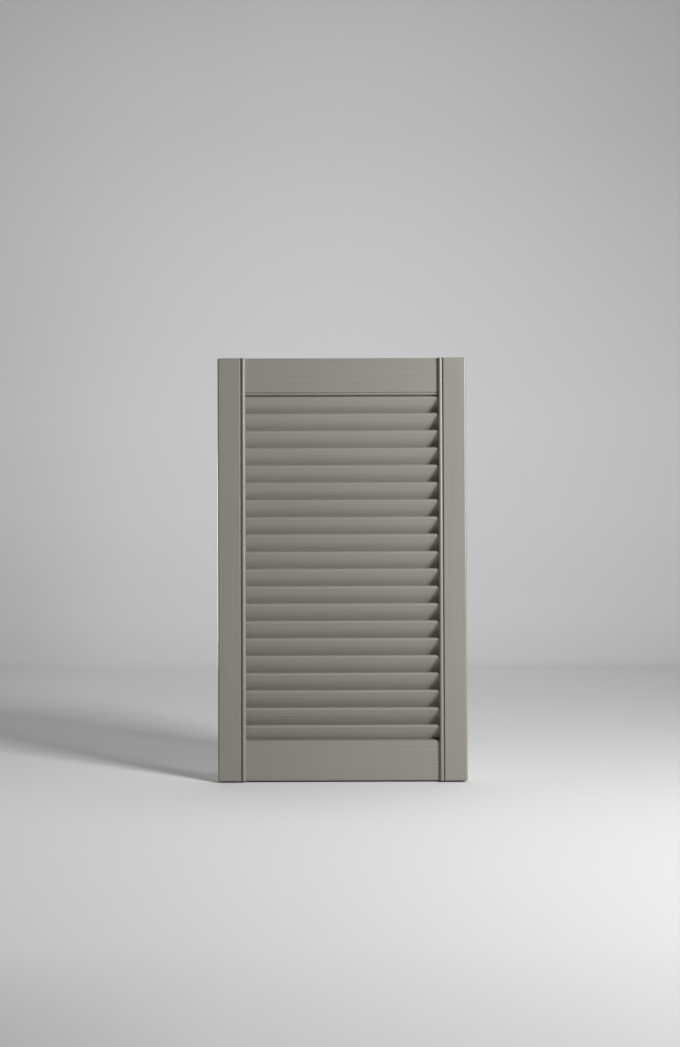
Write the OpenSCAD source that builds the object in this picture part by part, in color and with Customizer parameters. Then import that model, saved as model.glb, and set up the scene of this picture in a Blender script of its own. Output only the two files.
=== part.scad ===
// Louvred shutter panel: two beaded stiles, a top and a bottom rail, and a bank
// of fixed slats that sit in angled housings routed into the stiles.
//
// X runs across the panel, Y from the front to the back and Z up. The origin is
// the middle of the bottom edge, halfway through the thickness. All lengths are
// in millimetres and all angles in degrees.

/* [Panel] */
// Width over both stiles
panel_width = 405; // [360:1:480]
// Height of the stiles
panel_height = 688.4; // [668:0.4:710]

/* [Stiles] */
// Width of each stile
stile_width = 45; // [44:0.2:56]
// Thickness of the stiles, front to back
stile_thickness = 28; // [28:0.5:32]
// Radius of the outer front edge
front_edge_radius = 3; // [1:0.1:4]
// Radius of the two back edges
back_edge_radius = 1; // [0.5:0.1:1.1]
// Radius of the outer corners, seen from the front
corner_radius = 3; // [1:0.1:4]
// Radius of the front and back edges at both ends
end_edge_radius = 3; // [1:0.1:4]

/* [Stile moulding] */
// Diameter of the bead along the inner front edge
bead_diameter = 6.6; // [5:0.2:7]
// Width of the quirk, the groove beside the bead
quirk_width = 1.2; // [1:0.1:3]
// Radius that eases the flat of the stile beside the quirk
quirk_edge_radius = 1; // [0.4:0.1:1.2]

/* [Rails] */
// Thickness of both rails, front to back
rail_thickness = 18; // [17:0.5:20]
// Height of the face of the top rail
top_rail_height = 60.6; // [56:0.2:70]
// Height of the bottom rail
bottom_rail_height = 66.4; // [62:0.2:80]
// Radius that rounds the top front edge of the bottom rail
sill_radius = 6; // [5:0.5:11]
// Radius of the outer long edges of both rails
rail_edge_radius = 3; // [1:0.1:4]
// Diameter of the small bead along the lower edge of the top rail
rail_bead_diameter = 3.6; // [3:0.1:4]
// Width of the quirk above the small bead
rail_quirk_width = 1.1; // [0.9:0.1:2]

/* [Slats] */
// Number of slats
slat_count = 20; // [19:1:22]
// Width of a slat, from edge to edge
slat_width = 36; // [35:0.5:37]
// Thickness of a slat, which rounds both its long edges
slat_thickness = 6; // [5.5:0.5:7]
// Lean of the slats back from upright, with the top edge at the front
slat_lean = 33; // [31:0.5:35]
// Setback of the slats behind the front of the stiles
slat_setback = 4.5; // [4:0.1:4.5]
// Narrow gap between the top rail and the first slat
first_gap = 2.3; // [1.5:0.1:3]
// Drop from the first slat to the second, a little less than the other slats have
first_drop = 27; // [26:0.1:28]
// Length of a slat inside each stile
slat_seat = 8; // [6:0.5:12]
// Room left behind the end of a slat in its housing
housing_clearance = 0.5; // [0.2:0.1:1]

/* [Dowels] */
// Diameter of the dowels
dowel_diameter = 8; // [6:0.5:9]
// Length of the dowels
dowel_length = 50; // [40:2:56]
// Room left behind each end of a dowel in its bore
bore_clearance = 1; // [0.5:0.5:2]
// Chamfer at the ends of the dowels
dowel_chamfer = 1; // [0.5:0.1:1.5]
// Distance from the end of the panel to the outer dowels
outer_dowel_inset = 16; // [12:1:18]
// Distance between the two dowels of the top rail
top_dowel_spacing = 30; // [22:1:32]
// Distance between the two dowels of the bottom rail
bottom_dowel_spacing = 34; // [24:1:34]

/* [Hidden] */
$fn = 24;
// How far a cutter reaches past the surface that it cuts
over = 1;

inner_edge = panel_width / 2 - stile_width;
rail_length = 2 * inner_edge;
stile_front = -stile_thickness / 2;
rail_front = -rail_thickness / 2;
// Where the flat of a stile ends at the quirk, from its outer edge.
quirk_edge = stile_width - bead_diameter - quirk_width;
top_rail_bottom = panel_height - top_rail_height;

// A slat is drawn round the line between the centres of its two rounded edges.
slat_core = slat_width - slat_thickness;
slat_drop = slat_core * cos(slat_lean);
slat_nose_y = stile_front + slat_setback + slat_thickness / 2;
slat_length = rail_length + 2 * slat_seat;

// The last slat rests on the bottom rail: its lower edge goes this far into it.
last_slat_sink = 6.8;
first_tip = top_rail_bottom - first_gap;
last_tip = bottom_rail_height - last_slat_sink + slat_drop + slat_thickness;
second_tip = first_tip - first_drop;
slat_pitch = (second_tip - last_tip) / (slat_count - 2);

// The top rail carries on down behind the first slat and closes the gap there.
tongue_front = slat_nose_y + slat_thickness;
tongue_drop = 12;

paint_color = [0.59, 0.57, 0.53];
slat_color = [0.62, 0.60, 0.56];
beech_color = [0.80, 0.66, 0.48];

SLATS = [1:slat_count];
RAIL_SIDES = ["top", "bottom"];
STILE_SIDES = ["left", "right"];
LEVELS = ["lower", "upper"];

function slat_name(i) = str("slat_", i < 10 ? "0" : "", i);
function slat_tip(i) = i == 1 ? first_tip : second_tip - (i - 2) * slat_pitch;
function dowel_name(rail, side, level) = str(rail, "_", side, "_dowel_", level);
function side_sign(side) = side == "left" ? -1 : 1;

// The outer dowel of a rail is the lower one at the bottom and the upper one at
// the top of the panel.
function dowel_height(rail, level) =
    rail == "top"
        ? panel_height - outer_dowel_inset - (level == "lower" ? top_dowel_spacing : 0)
        : outer_dowel_inset + (level == "upper" ? bottom_dowel_spacing : 0);

// Extrudes a Y-Z section along X, centred on the middle of the panel.
module along_x(length) {
    translate([-length / 2, 0, 0]) rotate([90, 0, 90]) linear_extrude(length) children();
}

// Extrudes an X-Z outline along Y, centred on the middle of the thickness.
module along_y(length) {
    translate([0, length / 2, 0]) rotate([90, 0, 0]) linear_extrude(length) children();
}

// Cutter that rounds a corner. The signs in inward say where the material lies.
module corner_cut(corner, inward, radius) {
    translate(corner)
        mirror([inward[0] < 0 ? 1 : 0, 0])
            mirror([0, inward[1] < 0 ? 1 : 0])
                difference() {
                    translate([-over, -over]) square(radius + over);
                    translate([radius, radius]) circle(radius);
                }
}

// Cutter that leaves a bead on a corner at the origin and a quirk beside it. The
// material is at +X and +Y, and the quirk is on the side of +X.
module bead_cut(diameter, quirk) {
    difference() {
        translate([-over, -over]) square([over + diameter + quirk, over + diameter / 2]);
        translate([diameter / 2, diameter / 2]) circle(d = diameter);
    }
}

// Section of a slat in Y and Z, placed so that its top edge reaches up to tip.
module slat_section(tip) {
    translate([slat_nose_y, tip - slat_thickness / 2]) rotate(slat_lean) {
        translate([-slat_thickness / 2, -slat_core]) square([slat_thickness, slat_core]);
        circle(d = slat_thickness);
        translate([0, -slat_core]) circle(d = slat_thickness);
    }
}

// Section of the left stile in X and Y, from its outer edge at the origin.
module stile_section() {
    difference() {
        translate([0, stile_front]) square([stile_width, stile_thickness]);
        corner_cut([0, stile_front], [1, 1], front_edge_radius);
        corner_cut([0, -stile_front], [1, -1], back_edge_radius);
        corner_cut([stile_width, -stile_front], [-1, -1], back_edge_radius);
        corner_cut([quirk_edge, stile_front], [-1, 1], quirk_edge_radius);
        translate([stile_width, stile_front]) mirror([1, 0]) bead_cut(bead_diameter, quirk_width);
    }
}

// Housings for the ends of all slats, cut into the inner edge of the left stile.
module slat_housings() {
    depth = slat_seat + housing_clearance;
    for (i = SLATS)
        translate([-inner_edge + (over - depth) / 2, 0, 0])
            along_x(depth + over) slat_section(slat_tip(i));
}

// Bores for both dowels where a rail meets the stile on one side of the panel.
module dowel_bores(rail, side) {
    depth = dowel_length / 2 + bore_clearance;
    for (level = LEVELS)
        translate([side_sign(side) * inner_edge, 0, dowel_height(rail, level)])
            rotate([0, 90, 0]) cylinder(h = 2 * depth, d = dowel_diameter, center = true);
}

// Cuts that round a stile at its foot and its head: its outer corners in X and
// Z, and its front and back edges in Y and Z.
module end_cuts() {
    left = -panel_width / 2;
    along_y(stile_thickness + 2 * over) {
        corner_cut([left, 0], [1, 1], corner_radius);
        corner_cut([left, panel_height], [1, -1], corner_radius);
    }
    along_x(panel_width + 2 * over)
        for (side = [-1, 1]) {
            corner_cut([side * stile_front, 0], [side, 1], end_edge_radius);
            corner_cut([side * stile_front, panel_height], [side, -1], end_edge_radius);
        }
}

module left_stile() {
    color(paint_color) difference() {
        translate([-panel_width / 2, 0, 0]) linear_extrude(panel_height) stile_section();
        end_cuts();
        slat_housings();
        for (rail = RAIL_SIDES) dowel_bores(rail, "left");
    }
}

module right_stile() {
    mirror([1, 0, 0]) left_stile();
}

// Section of the top rail in Y and Z, with its bead and quirk.
module top_rail_section() {
    difference() {
        translate([rail_front, top_rail_bottom]) square([rail_thickness, top_rail_height]);
        translate([rail_front, top_rail_bottom]) rotate(-90) mirror([1, 0])
            bead_cut(rail_bead_diameter, rail_quirk_width);
        for (side = [-1, 1])
            corner_cut([side * rail_front, panel_height], [side, -1], rail_edge_radius);
    }
}

// The tongue drops behind the first slat and is cut to its shape.
module top_rail() {
    color(paint_color) difference() {
        union() {
            along_x(rail_length) top_rail_section();
            along_x(rail_length)
                translate([tongue_front, top_rail_bottom - tongue_drop])
                    square([-rail_front - tongue_front, tongue_drop]);
        }
        along_x(rail_length + 2 * over) slat_section(first_tip);
        for (side = STILE_SIDES) dowel_bores("top", side);
    }
}

// Section of the bottom rail in Y and Z, with its rounded sill.
module bottom_rail_section() {
    difference() {
        translate([rail_front, 0]) square([rail_thickness, bottom_rail_height]);
        corner_cut([rail_front, bottom_rail_height], [1, -1], sill_radius);
        for (side = [-1, 1])
            corner_cut([side * rail_front, 0], [side, 1], rail_edge_radius);
    }
}

// The back of the sill is cut to the shape of the last slat.
module bottom_rail() {
    color(paint_color) difference() {
        along_x(rail_length) bottom_rail_section();
        along_x(rail_length + 2 * over) slat_section(last_tip);
        for (side = STILE_SIDES) dowel_bores("bottom", side);
    }
}

module slat(i) {
    color(slat_color) along_x(slat_length) slat_section(slat_tip(i));
}

// Beech dowel that crosses the joint between a rail and a stile.
module dowel(rail, side, level) {
    radius = dowel_diameter / 2;
    half = dowel_length / 2;
    color(beech_color)
        translate([side_sign(side) * inner_edge, 0, dowel_height(rail, level)])
            rotate([90, 0, 90])
                rotate_extrude()
                    polygon([
                        [0, -half],
                        [radius - dowel_chamfer, -half],
                        [radius, -half + dowel_chamfer],
                        [radius, half - dowel_chamfer],
                        [radius - dowel_chamfer, half],
                        [0, half]
                    ]);
}

left_stile();
right_stile();
top_rail();
bottom_rail();
for (i = SLATS)
    slat(i);
for (rail = RAIL_SIDES, side = STILE_SIDES, level = LEVELS)
    dowel(rail, side, level);
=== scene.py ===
"""Louvred shutter panel in warm grey satin paint, standing on a pale studio sweep.

All lengths are in metres. X runs across the panel, Y to its back and Z up.
"""

import math

import bmesh
import bpy
from mathutils import Matrix, Vector


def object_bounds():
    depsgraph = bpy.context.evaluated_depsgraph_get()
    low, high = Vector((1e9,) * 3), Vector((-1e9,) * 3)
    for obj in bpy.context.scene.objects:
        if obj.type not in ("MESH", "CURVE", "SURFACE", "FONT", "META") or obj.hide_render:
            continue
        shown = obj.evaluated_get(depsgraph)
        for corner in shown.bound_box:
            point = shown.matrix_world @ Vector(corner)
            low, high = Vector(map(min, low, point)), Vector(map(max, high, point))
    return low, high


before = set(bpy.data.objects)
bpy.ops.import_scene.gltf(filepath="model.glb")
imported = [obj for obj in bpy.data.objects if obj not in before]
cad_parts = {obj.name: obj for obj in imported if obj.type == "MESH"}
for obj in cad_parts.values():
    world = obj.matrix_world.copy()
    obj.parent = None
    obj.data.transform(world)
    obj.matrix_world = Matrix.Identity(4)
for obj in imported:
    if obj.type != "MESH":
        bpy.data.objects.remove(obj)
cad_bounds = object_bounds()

# The photograph's frame and its camera
IMAGE_LONG_SIDE = 1047
FOCAL_PIXELS = 1535
SENSOR = 36.0
CAMERA_PLACE = Vector((-0.0034, -2.5093, 0.3655))
CAMERA_PITCH = math.radians(1.203)
CAMERA_ROLL = math.radians(0.194)

# Colours, written as sRGB
FRAME_PAINT = (140, 136, 129)
# The slats' paint is a little lighter than the frame's: painted light for their faces, which face
# down and catch less of the lamps
SLAT_PAINT_LIGHTENED = (143, 139, 132)
BEECH = (204, 170, 124)
BEECH_DARK = (176, 138, 92)
SWEEP_COLOUR = (234, 234, 234)
# The dark strip under the panel: painted shade for the dark line under its bottom edge
SHADE_STRIP_COLOUR = (52, 50, 47)
SHADE_STRIP_FUZZ_COLOUR = tuple(1.3 * value for value in SHADE_STRIP_COLOUR)

# The paint's marks. Streaks and strokes have one scale for each axis, low along the grain
CLOUD_SCALE = 3.2
GRAINS = {"x": (1.6, 150.0, 150.0), "z": (150.0, 150.0, 1.6)}
STROKES = {"x": (7.0, 620.0, 620.0), "z": (620.0, 620.0, 7.0)}
GRIT_SCALE = 900.0
CLOUD_TONE = 0.035
STREAK_TONE = 0.02
STROKE_TONE = 0.015
CLOUD_ROUGHNESS = (0.27, 0.33)
STROKE_ROUGHNESS = 0.04
STREAK_HEIGHT = 0.45
STROKE_HEIGHT = 0.3
GRIT_HEIGHT = 0.1
PAINT_BUMP = 0.00012
PAINT_IOR = 1.5

# The bare beech of the dowels
DOWEL_GRAIN = (18.0, 420.0, 420.0)
DOWEL_FLECK = (160.0, 1500.0, 1500.0)
GRAIN_TO_COLOUR = (0.35, 0.65, 0.0, 1.0)
FLECK_TO_COLOUR = (0.62, 0.72, 0.0, 0.5)
BEECH_ROUGHNESS = (0.55, 0.7)
BEECH_BUMP = 0.0001

# The studio sweep: floor, bend and wall in one sheet of paper
SWEEP_WALL_Y = 2.8
SWEEP_BEND = 0.25
SWEEP_BEND_STEPS = 48
SWEEP_HALF_WIDTH = 4.0
SWEEP_FRONT_Y = -2.05
SWEEP_HEIGHT = 4.5
FIBRE_SCALE = 260.0
FIBRE_TONE = (0.99, 1.01)
PAPER_ROUGHNESS = 0.9
PAPER_SPECULAR = 0.2

# Painted light and shade in the paper's colour, for how the lamps fall on the sweep. Each line has
# the place where a change begins, the place where it ends, and the values there. Depth is Y, side is
# X and height is Z
FLOOR_BY_DEPTH = (-1.9, -0.1, 0.55, 0.95)
FLOOR_BY_SIDE = (0.24, 1.19, 1.0, 0.9)
BACK_BY_DEPTH = (1.5, 2.3, 0.0, 0.055)
BACK_BY_HEIGHT = (0.0, 0.08, 1.0, 0.0)
FRONT_BY_DEPTH = (-1.35, -1.05, 1.0, 0.0)
FRONT_BY_SIDE = (-0.28, -0.1, -0.17, -0.055)
WALL_BY_HEIGHT = (0.83, 1.84, 0.995, 0.84)
WALL_BY_SIDE = (-1.15, 1.15, 1.07, 0.93)
TOP_LEFT_BY_HEIGHT = (1.2, 2.0, 0.0, 1.0)
TOP_LEFT_BY_SIDE = (-1.15, -0.4, 0.09, 0.0)
FLOOR_TO_WALL = (0.02, 0.5, 0.0, 1.0)
# Painted shade at the far left of the floor and the bend
FAR_LEFT_SHADE_BY_DEPTH = (0.0, 1.2, 0.0, 1.0)
FAR_LEFT_SHADE_BY_HEIGHT = (0.0, 1.66, 1.0, 0.0)
FAR_LEFT_SHADE_BY_SIDE = (-1.2, -0.69, 0.92, 1.0)

# The panel stands on a thin dark strip of felt, set back from its edges. Its darkness is painted
# shade, the dark line under the panel's bottom edge
STRIP_THICKNESS = 0.0024
STRIP_INSET = 0.006
STRIP_BEVEL = 0.0004
STRIP_BEVEL_STEPS = 2
RAIL_FRONT = -0.009
FUZZ_SCALE = 1400.0
FELT_BUMP = 0.0003
FELT_ROUGHNESS = 0.95

# Lamps: place, the point that the lamp faces, width and height, watts
PANEL_KEY = ((1.20, -1.08, 0.81), (0.0, 0.0, 0.44), (0.45, 0.95), 33.1)
SWEEP_KEY = ((1.66, -2.06, 1.50), (0.0, 0.0, 0.30), (0.62, 0.9), 100.0)
OVERHEAD_FILL = ((0.3, 0.6, 3.0), (0.3, 0.9, 0.0), (2.4, 1.6), 24.2)
WALL_FILL = ((-0.2, 0.9, 2.4), (-0.2, 2.8, 0.7), (1.0, 0.6), 2.7)
WALL_FILL_SPREAD = math.radians(110)
BACK_FILL = ((-1.25, 1.70, 0.36), (0.0, 0.0, 0.36), (1.6, 0.6), 42.0)

# The world: its strength as light, and as a background
AIR_COLOUR = (0.92, 0.95, 1.0, 1.0)
AIR_LIGHT = 0.01
AIR_SEEN = 0.45

# The part of a noise's range that its values mostly fall in
NOISE_RANGE = (0.3, 0.7)

# Blender's numbers for the sockets of a Mix node
MIX_FACTOR = 0
MIX_VALUES = (2, 3)
MIX_COLOURS = (6, 7)
MIX_VALUE_OUT = 0
MIX_COLOUR_OUT = 2


def linear(rgb):
    """An sRGB colour, 0 to 255 each, as linear light with alpha."""
    out = []
    for value in rgb:
        value /= 255
        out.append(value / 12.92 if value <= 0.04045 else ((value + 0.055) / 1.055) ** 2.4)
    return (*out, 1.0)


class Graph:
    """The node graph of a material or the world, built by short calls."""

    def __init__(self, owner, shader):
        owner.use_nodes = True
        self.owner = owner
        self.tree = owner.node_tree
        self.shader = self.tree.nodes[shader]

    def node(self, kind, values=None, **settings):
        """A new node. values go to its sockets by name or number."""
        made = self.tree.nodes.new(kind)
        for key, value in settings.items():
            setattr(made, key, value)
        for key, value in (values or {}).items():
            self.feed(made.inputs[key], value)
        return made

    def feed(self, socket, value):
        """Sets a socket, or links it where the value is another socket."""
        if isinstance(value, bpy.types.NodeSocket):
            self.tree.links.new(value, socket)
        else:
            socket.default_value = value

    def place(self):
        """The point on the object in metres, the same in every view."""
        return self.node("ShaderNodeTexCoord").outputs["Object"]

    def stretch(self, vector, scale):
        mapping = self.node("ShaderNodeMapping", {"Vector": vector, "Scale": scale})
        return mapping.outputs["Vector"]

    def noise(self, vector, scale=1.0, detail=2.0, roughness=0.5):
        values = {"Vector": vector, "Scale": scale, "Detail": detail, "Roughness": roughness}
        return self.node("ShaderNodeTexNoise", values).outputs["Fac"]

    def remap(self, value, low, high, to_low, to_high, kind="LINEAR"):
        """A value's range low to high, as the range to_low to to_high."""
        names = ("Value", "From Min", "From Max", "To Min", "To Max")
        values = dict(zip(names, (value, low, high, to_low, to_high)))
        return self.node("ShaderNodeMapRange", values, interpolation_type=kind).outputs["Result"]

    def smooth(self, value, low, high, to_low, to_high):
        return self.remap(value, low, high, to_low, to_high, "SMOOTHSTEP")

    def spread(self, noise, low, high):
        """A noise, spread over the range low to high."""
        return self.remap(noise, *NOISE_RANGE, low, high)

    def math(self, operation, a, b):
        return self.node("ShaderNodeMath", {0: a, 1: b}, operation=operation).outputs[0]

    def plus(self, a, b):
        return self.math("ADD", a, b)

    def times(self, a, b):
        return self.math("MULTIPLY", a, b)

    def between(self, a, b, factor):
        """The value a where factor is 0 and b where it is 1."""
        values = dict(zip((MIX_FACTOR, *MIX_VALUES), (factor, a, b)))
        return self.node("ShaderNodeMix", values).outputs[MIX_VALUE_OUT]

    def mix(self, factor, a, b, blend="MIX"):
        """The colour a where factor is 0, and its blend with b where it is 1."""
        values = dict(zip((MIX_FACTOR, *MIX_COLOURS), (factor, a, b)))
        made = self.node("ShaderNodeMix", values, data_type="RGBA", blend_type=blend)
        return made.outputs[MIX_COLOUR_OUT]

    def set_colour(self, colour):
        self.feed(self.shader.inputs["Base Color"], colour)

    def set_toned_colour(self, rgb, tone):
        """An sRGB colour times a grey tone as the surface's colour."""
        shade = self.node("ShaderNodeCombineColor", {0: tone, 1: tone, 2: tone}).outputs[0]
        self.set_colour(self.mix(1.0, linear(rgb), shade, "MULTIPLY"))

    def set_roughness(self, roughness):
        self.feed(self.shader.inputs["Roughness"], roughness)

    def set_bump(self, height, distance):
        bump = self.node("ShaderNodeBump", {"Height": height, "Distance": distance, "Strength": 1.0})
        self.feed(self.shader.inputs["Normal"], bump.outputs["Normal"])


def material_graph(name):
    return Graph(bpy.data.materials.new(name), "Principled BSDF")


def add_object(name, data):
    made = bpy.data.objects.new(name, data)
    bpy.context.scene.collection.objects.link(made)
    return made


def painted_wood(name, colour, grain):
    """Brushed satin paint over wood, with its grain and strokes along one axis."""
    g = material_graph(name)
    place = g.place()
    cloud = g.noise(place, scale=CLOUD_SCALE, detail=3.0)
    streak = g.noise(g.stretch(place, GRAINS[grain]), detail=4.0, roughness=0.6)
    stroke = g.noise(g.stretch(place, STROKES[grain]), detail=2.0, roughness=0.55)
    grit = g.noise(place, scale=GRIT_SCALE, detail=1.0)

    tone = g.plus(
        g.spread(cloud, -CLOUD_TONE, CLOUD_TONE),
        g.spread(streak, -STREAK_TONE, STREAK_TONE),
    )
    tone = g.plus(tone, g.spread(stroke, -STROKE_TONE, STROKE_TONE))
    g.set_toned_colour(colour, g.plus(tone, 1.0))

    roughness = g.plus(
        g.spread(cloud, *CLOUD_ROUGHNESS),
        g.spread(stroke, -STROKE_ROUGHNESS, STROKE_ROUGHNESS),
    )
    g.set_roughness(roughness)

    height = g.plus(g.times(streak, STREAK_HEIGHT), g.times(stroke, STROKE_HEIGHT))
    height = g.plus(height, g.times(grit, GRIT_HEIGHT))
    g.set_bump(height, PAINT_BUMP)
    g.shader.inputs["IOR"].default_value = PAINT_IOR
    return g.owner


def beech():
    """Bare beech with fine flecks along X, for the dowels inside the joints."""
    g = material_graph("dowel_beech_bare")
    place = g.place()
    grain = g.noise(g.stretch(place, DOWEL_GRAIN), detail=4.0, roughness=0.6)
    fleck = g.noise(g.stretch(place, DOWEL_FLECK), detail=1.0)
    colour = g.mix(g.remap(grain, *GRAIN_TO_COLOUR), linear(BEECH), linear(BEECH_DARK))
    g.set_colour(g.mix(g.remap(fleck, *FLECK_TO_COLOUR), colour, linear(BEECH_DARK)))
    g.set_roughness(g.spread(grain, *BEECH_ROUGHNESS))
    g.set_bump(grain, BEECH_BUMP)
    return g.owner


def dress_nodes():
    """Gives every CAD node its finish."""
    upright = painted_wood("frame_paint_upright", FRAME_PAINT, "z")
    level = painted_wood("frame_paint_level", FRAME_PAINT, "x")
    slat = painted_wood("slat_paint_lightened_level", SLAT_PAINT_LIGHTENED, "x")
    dowel = beech()
    for name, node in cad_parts.items():
        if name.endswith("stile"):
            finish = upright
        elif name.endswith("rail"):
            finish = level
        elif name.startswith("slat"):
            finish = slat
        else:
            finish = dowel
        for material_slot in node.material_slots:
            material_slot.material = finish


def sweep_profile():
    """Points in Y and Z from the front of the floor, round the bend, up the wall."""
    floor = -STRIP_THICKNESS
    points = [(SWEEP_FRONT_Y, floor)]
    for step in range(SWEEP_BEND_STEPS + 1):
        angle = math.pi / 2 * step / SWEEP_BEND_STEPS
        y = SWEEP_WALL_Y - SWEEP_BEND + SWEEP_BEND * math.sin(angle)
        z = SWEEP_BEND - SWEEP_BEND * math.cos(angle)
        points.append((y, floor + z))
    points.append((SWEEP_WALL_Y, SWEEP_HEIGHT))
    return points


def studio_sweep():
    """The floor and the wall behind, one matt pale sheet."""
    profile = sweep_profile()
    verts = [(side * SWEEP_HALF_WIDTH, y, z) for y, z in profile for side in (-1, 1)]
    faces = [(2 * i, 2 * i + 1, 2 * i + 3, 2 * i + 2) for i in range(len(profile) - 1)]
    mesh = bpy.data.meshes.new("studio_sweep")
    mesh.from_pydata(verts, [], faces)
    mesh.shade_smooth()
    sweep = add_object("studio_sweep", mesh)
    mesh.materials.append(sweep_paper())
    return sweep


def floor_painted_light(g, x, y, z):
    """Painted shade towards the camera and at the right, painted light where the bend begins."""
    tone = g.times(g.smooth(y, *FLOOR_BY_DEPTH), g.remap(x, *FLOOR_BY_SIDE))
    # Painted light behind the panel and painted shade at the front
    back = g.times(g.remap(y, *BACK_BY_DEPTH), g.remap(z, *BACK_BY_HEIGHT))
    front = g.times(g.remap(y, *FRONT_BY_DEPTH), g.remap(x, *FRONT_BY_SIDE))
    return g.times(tone, g.plus(1.0, g.plus(back, front)))


def wall_painted_light(g, x, z):
    """Painted light on the wall: greyer upwards and to the right, lighter at the top left."""
    tone = g.times(g.remap(z, *WALL_BY_HEIGHT), g.remap(x, *WALL_BY_SIDE))
    top_left_painted_light = g.times(g.remap(z, *TOP_LEFT_BY_HEIGHT), g.remap(x, *TOP_LEFT_BY_SIDE))
    return g.times(tone, g.plus(1.0, top_left_painted_light))


def sweep_painted_light(g, place):
    """The paper's painted light and shade: the floor's, the wall's above it, and painted shade at
    the far left.
    """
    x, y, z = g.node("ShaderNodeSeparateXYZ", {0: place}).outputs
    tone = g.between(floor_painted_light(g, x, y, z), wall_painted_light(g, x, z), g.remap(z, *FLOOR_TO_WALL))
    far_left_shade = g.times(g.smooth(y, *FAR_LEFT_SHADE_BY_DEPTH), g.smooth(z, *FAR_LEFT_SHADE_BY_HEIGHT))
    return g.times(tone, g.between(1.0, g.smooth(x, *FAR_LEFT_SHADE_BY_SIDE), far_left_shade))


def sweep_paper():
    """Matt paper with a fine fibre, its colour toned with painted light and shade."""
    g = material_graph("sweep_paper")
    place = g.place()
    fibre = g.spread(g.noise(place, scale=FIBRE_SCALE, detail=3.0), *FIBRE_TONE)
    g.set_toned_colour(SWEEP_COLOUR, g.times(sweep_painted_light(g, place), fibre))
    g.shader.inputs["Roughness"].default_value = PAPER_ROUGHNESS
    g.shader.inputs["Specular IOR Level"].default_value = PAPER_SPECULAR
    return g.owner


def contact_shade_strip():
    """The dark strip of felt under the panel, with eased edges, as painted shade under its bottom
    edge.
    """
    low, high = cad_bounds
    half_length = high[0] - STRIP_INSET
    back, front = high[1] - STRIP_INSET, RAIL_FRONT + STRIP_INSET
    size = Vector((2 * half_length, back - front, STRIP_THICKNESS))
    middle = Vector((0.0, (back + front) / 2, -STRIP_THICKNESS / 2))

    form = bmesh.new()
    bmesh.ops.create_cube(form, size=1.0)
    for vert in form.verts:
        vert.co = middle + Vector(a * b for a, b in zip(vert.co, size))
    ease = {"offset": STRIP_BEVEL, "segments": STRIP_BEVEL_STEPS, "affect": "EDGES"}
    bmesh.ops.bevel(form, geom=form.edges, **ease)
    mesh = bpy.data.meshes.new("contact_shade_strip")
    form.to_mesh(mesh)
    form.free()

    strip = add_object("contact_shade_strip", mesh)
    mesh.materials.append(felt())


def felt():
    """Dark matt felt, its darkness painted shade under the panel."""
    g = material_graph("contact_shade_felt")
    fuzz = g.noise(g.place(), scale=FUZZ_SCALE, detail=3.0)
    colours = linear(SHADE_STRIP_COLOUR), linear(SHADE_STRIP_FUZZ_COLOUR)
    g.set_colour(g.mix(g.spread(fuzz, 0.0, 1.0), *colours))
    g.set_bump(fuzz, FELT_BUMP)
    g.shader.inputs["Roughness"].default_value = FELT_ROUGHNESS
    return g.owner


def softbox(name, place, target, size, power):
    """A rectangular area lamp at place that faces target."""
    lamp = bpy.data.lights.new(name, "AREA")
    lamp.shape = "RECTANGLE"
    lamp.size, lamp.size_y = size
    lamp.energy = power
    holder = add_object(name, lamp)
    holder.location = place
    holder.visible_camera = False
    aim = Vector(target) - Vector(place)
    holder.rotation_euler = aim.to_track_quat("-Z", "Y").to_euler()
    return holder


def link_lamp(lamp, sweep, state):
    """Lets a lamp light the sweep alone, INCLUDE, or all but the sweep, EXCLUDE."""
    group = bpy.data.collections.new("lit_by_" + lamp.name)
    group.objects.link(sweep)
    group.collection_objects[0].light_linking.link_state = state
    lamp.light_linking.receiver_collection = group


def light_studio(sweep):
    """A key and a low back lamp for the panel, a key for the sweep, two weak fills for both."""
    link_lamp(softbox("panel_key", *PANEL_KEY), sweep, "EXCLUDE")
    link_lamp(softbox("sweep_key", *SWEEP_KEY), sweep, "INCLUDE")
    softbox("overhead_fill", *OVERHEAD_FILL)
    softbox("wall_fill", *WALL_FILL).data.spread = WALL_FILL_SPREAD
    link_lamp(softbox("back_fill", *BACK_FILL), sweep, "EXCLUDE")


def studio_air():
    """Almost no light on the object, and a pale grey where the air itself is seen."""
    world = bpy.data.worlds.new("studio_air")
    g = Graph(world, "Background")
    rays = g.node("ShaderNodeLightPath").outputs
    seen = g.math("MAXIMUM", rays["Is Camera Ray"], rays["Is Glossy Ray"])
    seen = g.math("MAXIMUM", seen, rays["Is Transmission Ray"])
    g.feed(g.shader.inputs["Color"], AIR_COLOUR)
    g.feed(g.shader.inputs["Strength"], g.remap(seen, 0.0, 1.0, AIR_LIGHT, AIR_SEEN))
    bpy.context.scene.world = world


def place_camera():
    """The photograph's camera, level but for a slight pitch and roll."""
    data = bpy.data.cameras.new("photo_camera")
    data.sensor_width = SENSOR
    data.lens = FOCAL_PIXELS * SENSOR / IMAGE_LONG_SIDE
    camera = add_object("photo_camera", data)
    level = Matrix.Rotation(math.pi / 2 + CAMERA_PITCH, 4, "X")
    roll = Matrix.Rotation(-CAMERA_ROLL, 4, "Z")
    camera.matrix_world = Matrix.Translation(CAMERA_PLACE) @ level @ roll
    bpy.context.scene.camera = camera


bpy.context.scene.view_settings.view_transform = "Standard"
place_camera()
dress_nodes()
sweep = studio_sweep()
contact_shade_strip()
light_studio(sweep)
studio_air()
